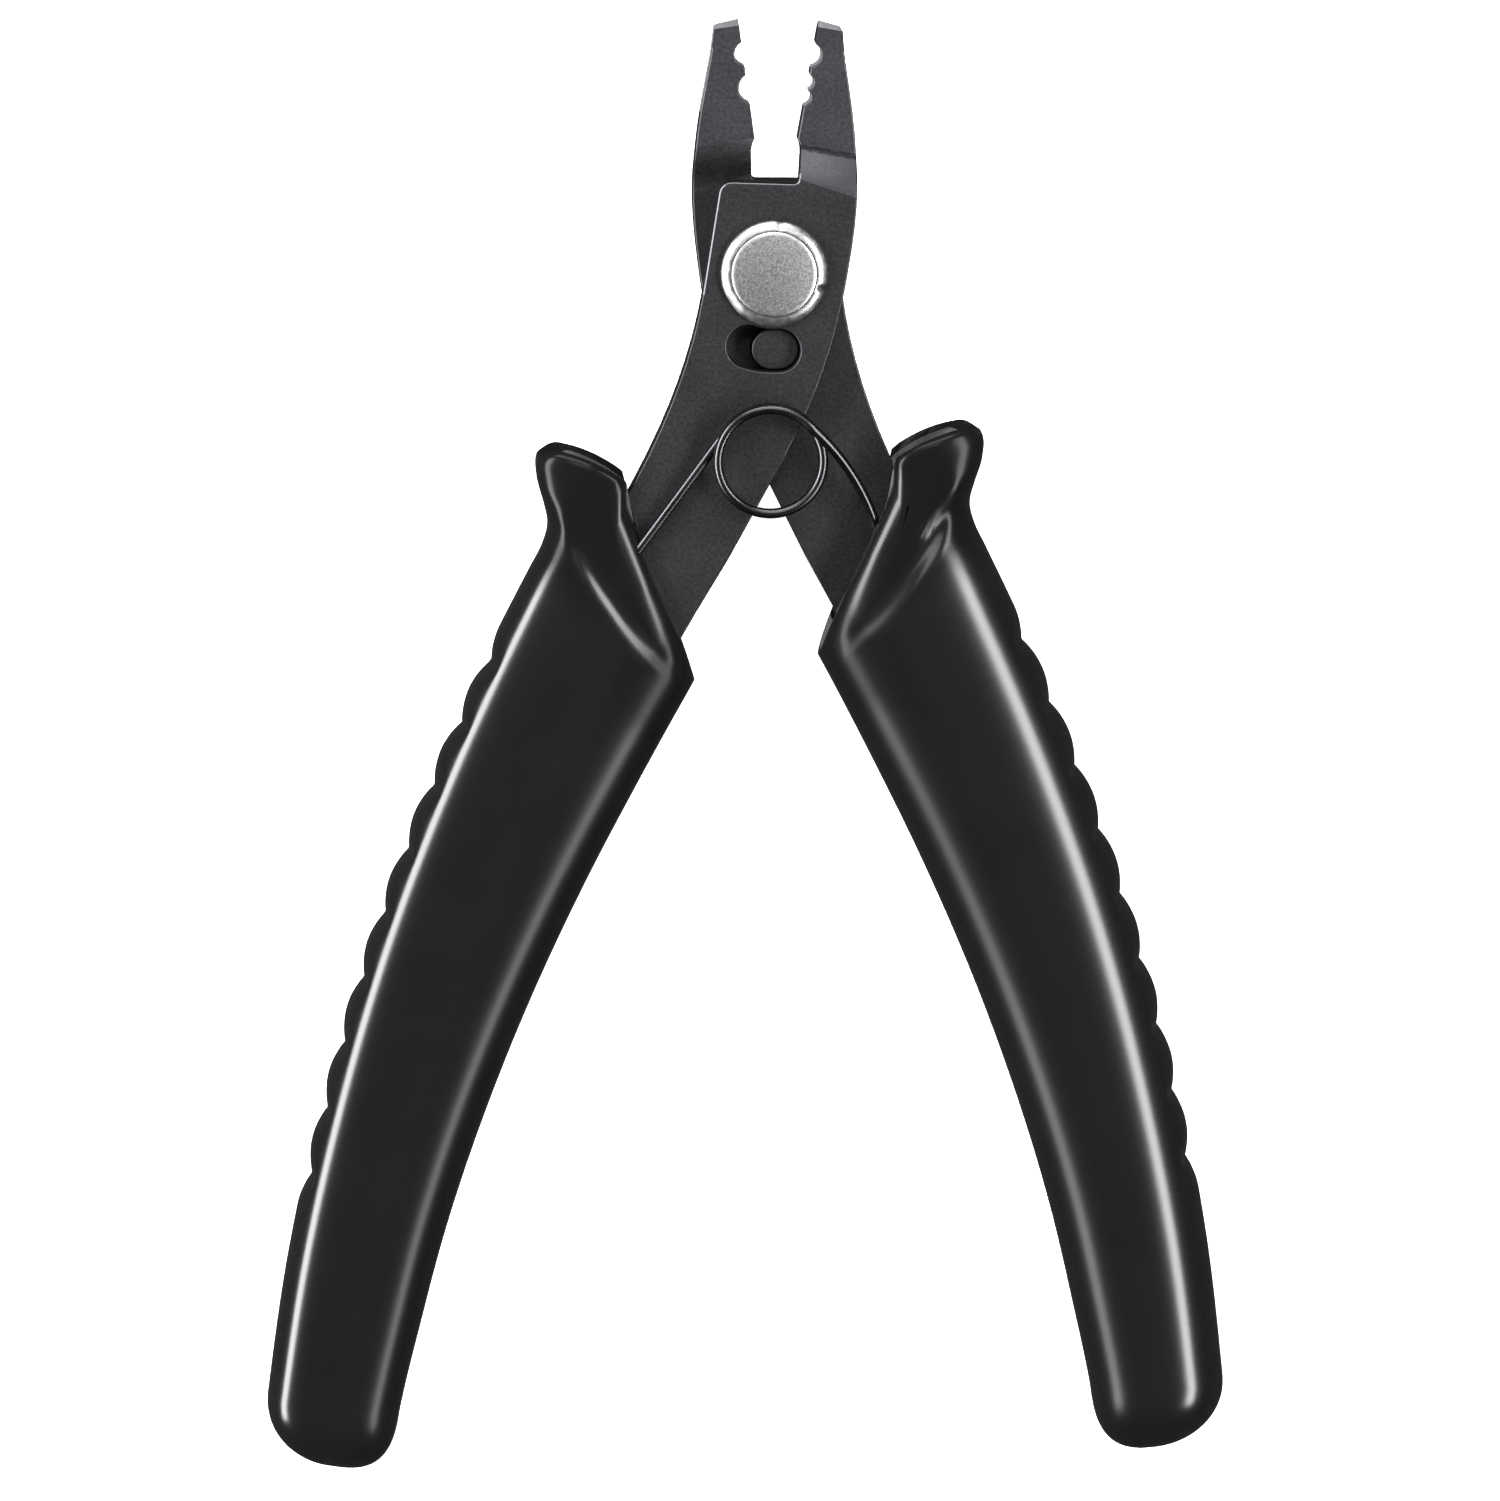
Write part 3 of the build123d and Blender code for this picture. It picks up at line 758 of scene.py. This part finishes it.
def colour(name, description, hex_colour):
    return bpy.props.FloatVectorProperty(
        name=name,
        description=description,
        default=linear(hex_colour),
        subtype="COLOR",
        size=4,
        min=0.0,
        max=1.0,
    )


def number(name, description, default):
    return bpy.props.FloatProperty(name=name, description=description, default=default)


def whole_number(name, description, default):
    return bpy.props.IntProperty(name=name, description=description, default=default, min=3)


def in_millimetres(group):
    """The values of a property group, with its lengths in millimetres."""
    values = {}
    for prop in group.bl_rna.properties:
        if prop.identifier in ("rna_type", "name"):
            continue
        value = getattr(group, prop.identifier)
        if prop.subtype == "COLOR":
            value = tuple(value)
        values[prop.identifier] = value / MM if prop.unit == "LENGTH" else value
    return SimpleNamespace(**values)


class PliersGripSettings(bpy.types.PropertyGroup):
    """Shape and colour of the grips"""

    skin_dark: colour("Plastic", "Colour of the moulded plastic", "#0b0b0c")
    skin_pale: colour("Plastic, flow marks", "Colour where the plastic flowed", "#101011")
    outer_front: number("Outer front", "How square the front quarter outside is; 2 is an ellipse", 4.0)
    inner_front: number("Inner front", "How square the front quarter inside is; 2 is an ellipse", 2.9)
    outer_back: number("Outer back", "How square the back quarter outside is; 2 is an ellipse", 2.45)
    inner_back: number("Inner back", "How square the back quarter inside is; 2 is an ellipse", 2.4)
    guard_squareness: number("Guard", "How much squarer the thumb guard is", 2.0)
    collar_step: length("Collar step", "Height of the body over the collar", 0.42)
    lip_radius: length("Lip radius", "Roll of the mouth's lip", 2.2)
    lip_edge: length("Lip edge", "Height of the lip's edge over the middle plane", 3.2)
    notch_depth: length("Notch depth", "Depth between the scallops", 0.75)
    notch_pitch: length("Notch pitch", "Distance between notches", 5.92)
    notch_start: length("First notch", "Distance below the handle line's start", 4.9)
    notch_count: whole_number("Notches", "Notches in the outer side", 9)
    hole_outer: length("Hole, outer", "Half width of the hole toward the outer side", 5.75)
    hole_inner: length("Hole, inner", "Half width of the hole toward the inner side", 6.1)
    hole_depth: length("Hole depth", "How far one sees into the mouth", 5.0)
    columns: whole_number("Columns", "Faces round the grip", 144)


class PliersLeverSettings(bpy.types.PropertyGroup):
    """Edges and colours of the levers"""

    edge: length("Broken edge", "Width of the broken edges", 0.14)
    bend: length("Bend", "How far the jaw's bend is rounded each way", 0.9)
    head_colour: colour("Head", "Colour of the blackened head", "#39393b")
    jaw_colour: colour("Jaw", "Colour of the blackened jaw", "#444447")
    # the bare colours also paint a highlight along the front lever's arris
    bare_dark: colour("Bare steel, grooves", "Colour in the grinding marks", "#5c5c5e")
    bare_and_highlight_pale: colour("Bare steel", "Colour of the ground faces", "#86868a")


class PliersPivotSettings(bpy.types.PropertyGroup):
    """Sizes and colours of the pin and its collars"""

    disc: length("Pin diameter", "Diameter of the pin", 7.7)
    ring: length("Collar diameter", "Outer diameter of the collar", 9.5)
    height: length("Collar height", "How far the collar stands out of the lever", 0.95)
    crown: length("Pin crown", "How much the pin's end is domed", 0.2)
    pin_dark: colour("Pin, grain", "Darker colour of the satin end", "#a2a2a4")
    pin_pale: colour("Pin", "Colour of the satin end", "#aaaaac")
    collar_dark: colour("Collar, worn", "Colour where the collar is rough", "#8e8e90")
    collar_pale: colour("Collar", "Colour of the swaged collar", "#b4b4b6")


class PliersSpringSettings(bpy.types.PropertyGroup):
    """Sizes and colours of the return spring"""

    wire: length("Wire", "Wire diameter", 0.9)
    coil_radius: length("Coil radius", "Radius of the coil's middle line", 4.7)
    coil_centre: length("Coil centre", "Place of the coil's centre along Y", -16.6)
    coil_pitch: length("Coil pitch", "Rise of one turn", 1.05)
    coil_turns: number("Coil turns", "Turns from leg to leg", 1.27)
    coil_start: angle("Coil start", "Direction from the centre to the left leg", 145.0)
    leg_length: length("Left leg", "Straight length of the left leg", 18.0)
    wire_dark: colour("Wire, shade", "Darker colour of the wire", "#3c3c3e")
    wire_pale: colour("Wire colour", "Colour of the wire", "#464648")


class PliersStageSettings(bpy.types.PropertyGroup):
    """Camera and card"""

    tilt: angle("Tilt", "How far the camera leans toward the jaws", 7.5)
    turn: angle("Turn", "How far the camera leans toward the left", 2.5)
    roll: angle("Roll", "How far the pliers lean to the right in the picture", 1.25)
    width: length("Width", "Width that the picture shows", 134.0)
    distance: length("Distance", "Camera to pliers", 1600.0)
    glow: number("Card glow", "Light that the card gives by itself", 1.0)
    card: colour("Card", "Colour of the card under the pliers", "#ffffff")


# Operators


class PliersAddGrips(bpy.types.Operator):
    """Adds both moulded grips in place of the plain ones"""

    bl_idname = "pliers.add_grips"
    bl_label = "Grips"

    def execute(self, context):
        settings = in_millimetres(context.scene.pliers_grips)
        materials = [gloss_pvc(settings), cut_pvc()]
        for name, body, seat, hole in (
            ("left_grip_moulding", "front", LEFT_GRIP_SEAT, (-0.35, 3.1)),
            ("right_grip_moulding", "rear", RIGHT_GRIP_SEAT, (-3.1, 3.1)),
        ):
            grip = make_grip(settings, name, body, seat, hole, materials)
            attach(grip, body)
            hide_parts(name.replace("_moulding", ""))
        return {"FINISHED"}


class PliersAddLevers(bpy.types.Operator):
    """Adds both levers with broken edges and bare working faces"""

    bl_idname = "pliers.add_levers"
    bl_label = "Levers"

    def execute(self, context):
        settings = in_millimetres(context.scene.pliers_levers)
        # matt from the wheel, so it takes up some of the card's light as a dull surface does; on the front
        # lever's arris, where it faces left or up, it is a painted highlight
        bare = metal(
            "ground steel, bare", settings.bare_dark, settings.bare_and_highlight_pale, 0.55, 0.12, (1, 1, 0.2), 0.3, 0.45
        )
        for node, body, sign in (("front_lever", "front", 1), ("rear_lever", "rear", -1)):
            black = black_oxide(
                f"black-oxide steel, {body}",
                settings.head_colour,
                settings.jaw_colour,
                turn=sign * HALF_OPEN,
                bend_shade_line=sign > 0,
            )
            lever = bevelled_copy(
                node, f"{node}_plate", [black, bare], settings, lambda p, s=sign: is_bare_or_highlit(p, s)
            )
            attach(lever, body)
            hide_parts(node)
        return {"FINISHED"}


def is_bare_or_highlit(polygon, sign):
    """True on the jaw's tip, its notches' walls and its ground outer wall, and on the front lever's arris
    where it faces left or up, where the bare material is a painted highlight.
    """
    centre, normal = polygon.center / MM, polygon.normal
    # painted highlight: the pale bare material on the front lever's arris, only on the bevels that face left
    # or up
    if sign > 0 and HIGHLIT_ARRIS_FROM < centre.y < HIGHLIT_ARRIS_TO and centre.z > MIDDLE + OUTER_FACE - 0.3:
        lit_arris_side = normal.x < -0.15 or (normal.y > 0.3 and centre.x < 3)
        if lit_arris_side and 0.3 < normal.z < 0.98:
            return True
    reach = centre.y * cos(HALF_OPEN) + abs(centre.x) * sin(HALF_OPEN)
    # the bevels of the jaw's end are bare as well as its walls
    steep = 0.93 if reach > JAW_REACH - 0.5 else 0.2
    if abs(normal.z) > steep or centre.y < BARE_FROM:
        return False
    across = sign * (centre.x * cos(HALF_OPEN)) - centre.y * sin(HALF_OPEN)
    facing = sign * normal.x * cos(HALF_OPEN) - normal.y * sin(HALF_OPEN)
    land = facing < -0.96 and across < 0.2
    return not land


class PliersAddPivot(bpy.types.Operator):
    """Adds the pin's satin ends and the bright collars swaged round them"""

    bl_idname = "pliers.add_pivot"
    bl_label = "Pivot"

    def execute(self, context):
        settings = in_millimetres(context.scene.pliers_pivot)
        satin = metal("satin steel", settings.pin_dark, settings.pin_pale, 0.38, 0.2, relief=0.01)
        bright = metal(
            "bright swaged steel", settings.collar_dark, settings.collar_pale, 0.36, 0.6, relief=0.25
        )
        pin_radius, ring_radius = settings.disc / 2, settings.ring / 2
        face = settings.height + 0.1
        dome = [
            (pin_radius * share * 0.965, face + settings.crown * (1 - share**2))
            for share in np.linspace(0, 1, 14)
        ]
        edge = [(pin_radius * 0.99, face - 0.06), (pin_radius, face - 0.16)]
        depth = 2 * OUTER_FACE + 0.04
        below = [(r, -depth - z) for r, z in reversed(dome + edge)]
        pin = revolve(
            "pivot_pin_body", dome + edge + [(pin_radius, -0.5)] + below, MIDDLE + OUTER_FACE, False, [satin]
        )
        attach(pin, "front")
        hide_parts("pivot_pin")
        h = settings.height
        slope = ring_radius - pin_radius - 0.08
        bead = [
            (pin_radius + 0.04 + slope * share, h - 0.08 * share - 0.34 * share**2)
            for share in np.linspace(0, 1, 15)
        ]
        outline = [(pin_radius + 0.01, 0.0), (pin_radius + 0.01, h - 0.05)] + bead
        outline += [(ring_radius, h - 0.5), (ring_radius, 0.12), (ring_radius - 0.1, 0.0)]
        dents = ((-16, 2.5, 0.3), (84, 3.0, 0.1), (215, 12.0, 0.06))
        for node, height, down in (
            ("front_collar", MIDDLE + OUTER_FACE, False),
            ("rear_collar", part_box("rear_collar")[1].z / MM, True),
        ):
            ring = revolve(f"{node}_ring", outline, height, down, [bright], dents)
            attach(ring, "front")
            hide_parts(node)
        return {"FINISHED"}


class PliersAddSpring(bpy.types.Operator):
    """Adds the wire spring, whose legs follow the levers and whose coil stays between them"""

    bl_idname = "pliers.add_spring"
    bl_label = "Spring"

    def execute(self, context):
        settings = in_millimetres(context.scene.pliers_spring)
        wire = metal(
            "drawn spring steel, dark", settings.wire_dark, settings.wire_pale, 0.27, 4.0, relief=0.0
        )
        tree, sockets = wire_tree()
        left, coil, right = spring_path(settings)
        far = Vector((1.0, 0, 0))
        stretches = (
            ("left", left, Vector(left[0] * MM), Vector((2 * left[-1] - left[0]) * MM)),
            ("coil", coil, -far, far),
            ("right", right, Vector((2 * right[0] - right[-1]) * MM), Vector(right[-1] * MM)),
        )
        work = bmesh.new()
        for name, points, start, end in stretches:
            stretch = wire_along(f"return_spring_{name}", points, tree, sockets, settings.wire, wire)
            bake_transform(stretch, "front", "rear", start=start, end=end)
            work.from_mesh(stretch.data)
            bpy.data.objects.remove(stretch)
        bmesh.ops.remove_doubles(work, verts=work.verts, dist=0.06 * MM)
        bmesh.ops.holes_fill(work, edges=[e for e in work.edges if e.is_boundary], sides=64)
        bmesh.ops.recalc_face_normals(work, faces=work.faces)
        mesh = bpy.data.meshes.new("return_spring_wire")
        work.to_mesh(mesh)
        work.free()
        mesh.materials.append(wire)
        mesh.shade_smooth()
        mesh.set_sharp_from_angle(angle=radians(50))
        spring = bpy.data.objects.new("return_spring_wire", mesh)
        bpy.context.scene.collection.objects.link(spring)
        # the joined wire keeps the weights that its stretches had
        keep = np.zeros(len(mesh.vertices), np.float32)
        mesh.attributes["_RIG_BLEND"].data.foreach_get("value", keep)
        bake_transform(spring, "front", "rear", start=-far, end=far)
        mesh.attributes["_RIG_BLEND"].data.foreach_set("value", keep)
        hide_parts("return_spring")
        return {"FINISHED"}


class PliersSetStage(bpy.types.Operator):
    """Adds the pale table, the studio lights and the camera"""

    bl_idname = "pliers.set_stage"
    bl_label = "Stage"

    def execute(self, context):
        settings = in_millimetres(context.scene.pliers_stage)
        scene = context.scene
        floor, tree, shader = new_material("matt white card", Roughness=0.9, Emission_Strength=settings.glow)
        place = add_node(tree, "ShaderNodeTexCoord").outputs["Object"]
        fibre = noise(tree, place, 1 / (1.5 * MM), 3.0)
        tint = mix(tree, fibre, linear("#fafafa"), settings.card)
        feed(tree, shader, {"Base Color": tint, "Emission Color": linear("#ffffff")})
        reach, under = 3.0, -0.2 * MM
        corners = [(x * reach, y * reach, under) for x, y in ((-1, -1), (1, -1), (1, 1), (-1, 1))]
        table = piece_from("table", corners, [(0, 1, 2, 3)], [floor])
        # the card lights the sides of the pliers, but doesn't show in their gloss
        table.visible_glossy = False
        scene.view_settings.view_transform = "Standard"
        world = bpy.data.worlds.new("studio")
        world.use_nodes = True
        world.node_tree.nodes["Background"].inputs["Color"].default_value = linear("#ffffff")
        world.node_tree.nodes["Background"].inputs["Strength"].default_value = 0.06
        scene.world = world
        centre = Vector((0, -0.043, 0.006))
        # each light: bearing from +X, angle from straight up, distance, width, length, power
        for name, bearing, lean, distance, wide, long, watts in (
            ("left strip", 180, 58, 0.75, 0.26, 0.9, 17.0),
            ("right strip", 0, 44, 0.75, 0.18, 0.9, 10.0),
            ("jaw panel", 97, 62, 0.85, 0.8, 0.25, 7.0),
            ("top panel", 92, 32, 0.9, 0.5, 0.3, 2.6),
        ):
            light = bpy.data.lights.new(name, "AREA")
            light.shape = "RECTANGLE"
            light.size, light.size_y = wide, long
            light.energy = watts
            lamp = bpy.data.objects.new(name, light)
            scene.collection.objects.link(lamp)
            up = Vector(
                (
                    sin(radians(lean)) * cos(radians(bearing)),
                    sin(radians(lean)) * sin(radians(bearing)),
                    cos(radians(lean)),
                )
            )
            lamp.location = centre + up * distance
            long_side = Vector((0, 1, 0)) if abs(up.y) < 0.5 else Vector((0, 0, 1))
            lamp.rotation_euler = aimed(up, long_side).to_euler()
        camera_data = bpy.data.cameras.new("camera")
        camera = bpy.data.objects.new("camera", camera_data)
        scene.collection.objects.link(camera)
        scene.camera = camera
        back = Vector((-tan(settings.turn), tan(settings.tilt), 1)).normalized()
        roll = settings.roll
        camera_data.sensor_width = 36.0
        camera_data.lens = 36.0 * settings.distance / settings.width
        target = Vector((-1.2, -42.85, 9.0)) * MM
        camera.location = target + back * settings.distance * MM
        camera.rotation_euler = aimed(back, Vector((-sin(roll), cos(roll), 0))).to_euler()
        camera_data.clip_start = 0.05
        camera_data.clip_end = 20
        return {"FINISHED"}


def aimed(back, up):
    """The turn of a camera or lamp that looks along -back, with its top toward up."""
    z = back.normalized()
    x = up.cross(z).normalized()
    y = z.cross(x)
    return Matrix((x, y, z)).transposed()


OPERATORS = (PliersSetStage, PliersAddLevers, PliersAddGrips, PliersAddPivot, PliersAddSpring)
SETTINGS = {
    "pliers_grips": PliersGripSettings,
    "pliers_levers": PliersLeverSettings,
    "pliers_pivot": PliersPivotSettings,
    "pliers_spring": PliersSpringSettings,
    "pliers_stage": PliersStageSettings,
}


class PliersPanel(bpy.types.Panel):
    """Lists the pieces in the 3D view's sidebar"""

    bl_idname = "VIEW3D_PT_pliers"
    bl_label = "Crimping pliers"
    bl_space_type = "VIEW_3D"
    bl_region_type = "UI"
    bl_category = "Pliers"

    def draw(self, context):
        for operator in OPERATORS:
            self.layout.operator(operator.bl_idname)
        for name in SETTINGS:
            box = self.layout.box()
            group = getattr(context.scene, name)
            for prop in group.bl_rna.properties:
                if prop.identifier not in ("rna_type", "name"):
                    box.prop(group, prop.identifier)


def register():
    for name, group in SETTINGS.items():
        bpy.utils.register_class(group)
        setattr(bpy.types.Scene, name, bpy.props.PointerProperty(type=group))
    for operator in OPERATORS:
        bpy.utils.register_class(operator)
    bpy.utils.register_class(PliersPanel)


def unregister():
    bpy.utils.unregister_class(PliersPanel)
    for operator in reversed(OPERATORS):
        bpy.utils.unregister_class(operator)
    for name, group in SETTINGS.items():
        delattr(bpy.types.Scene, name)
        bpy.utils.unregister_class(group)


def main():
    register()
    bpy.ops.pliers.set_stage()
    bpy.ops.pliers.add_levers()
    bpy.ops.pliers.add_grips()
    bpy.ops.pliers.add_pivot()
    bpy.ops.pliers.add_spring()


if __name__ == "__main__":
    main()
